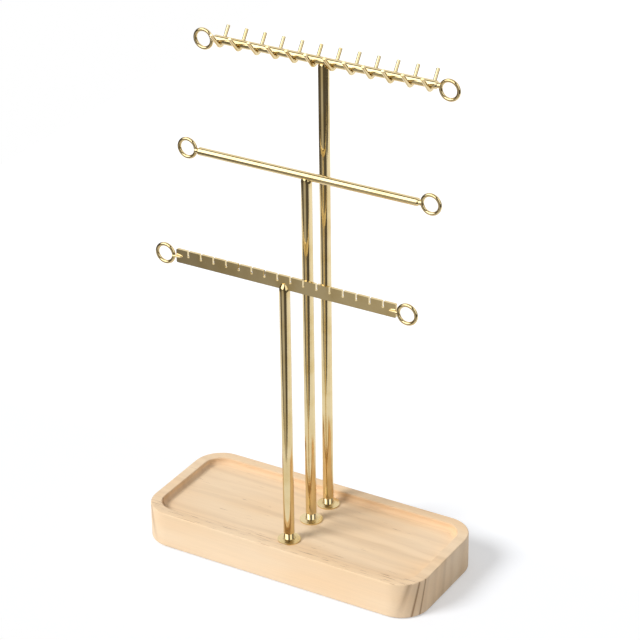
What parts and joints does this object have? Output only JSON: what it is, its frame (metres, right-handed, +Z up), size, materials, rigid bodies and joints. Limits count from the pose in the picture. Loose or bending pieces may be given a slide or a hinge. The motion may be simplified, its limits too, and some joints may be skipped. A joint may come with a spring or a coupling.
{
  "type": "jewellery stand",
  "caption": "Free-standing jewellery tree: rounded wooden tray on pads, rising gold posts, hooked necklace bar, plain bangle bar and slotted earring strip with ring ends.",
  "frame": {"origin": "on the resting surface, under the middle of the tray", "axes": "+X along the bars to the right, +Y from the front of the tray to its back, +Z up"},
  "size_m": [0.232, 0.1, 0.3852],
  "materials": {
    "pine": "pale pine, sanded, matt clear finish",
    "gold_plate": "polished light gold plating",
    "fastener_steel": "zinc plated",
    "pad_rubber": "matt"
  },
  "bodies": {
    "root": {"tray": "pine", "pad_front_left": "pad_rubber", "pad_front_right": "pad_rubber", "pad_back_left": "pad_rubber", "pad_back_right": "pad_rubber", "front_post": "gold_plate", "front_foot": "gold_plate", "front_post_plug": "fastener_steel", "front_screw": "fastener_steel", "front_washer": "fastener_steel", "middle_post": "gold_plate", "middle_foot": "gold_plate", "middle_post_plug": "fastener_steel", "middle_screw": "fastener_steel", "middle_washer": "fastener_steel", "back_post": "gold_plate", "back_foot": "gold_plate", "back_post_plug": "fastener_steel", "back_screw": "fastener_steel", "back_washer": "fastener_steel", "front_cap": "gold_plate", "earring_strip": "gold_plate", "earring_strip_ring_left": "gold_plate", "earring_strip_ring_right": "gold_plate", "middle_cap": "gold_plate", "middle_bar": "gold_plate", "middle_bar_pin": "fastener_steel", "middle_bar_ring_left": "gold_plate", "middle_bar_ring_right": "gold_plate", "back_cap": "gold_plate", "top_bar": "gold_plate", "top_bar_pin": "fastener_steel", "top_bar_ring_left": "gold_plate", "top_bar_ring_right": "gold_plate", "hook_01": "gold_plate", "hook_02": "gold_plate", "hook_03": "gold_plate", "hook_04": "gold_plate", "hook_05": "gold_plate", "hook_06": "gold_plate", "hook_07": "gold_plate", "hook_08": "gold_plate", "hook_09": "gold_plate", "hook_10": "gold_plate", "hook_11": "gold_plate", "hook_12": "gold_plate"}
  },
  "joints": []
}
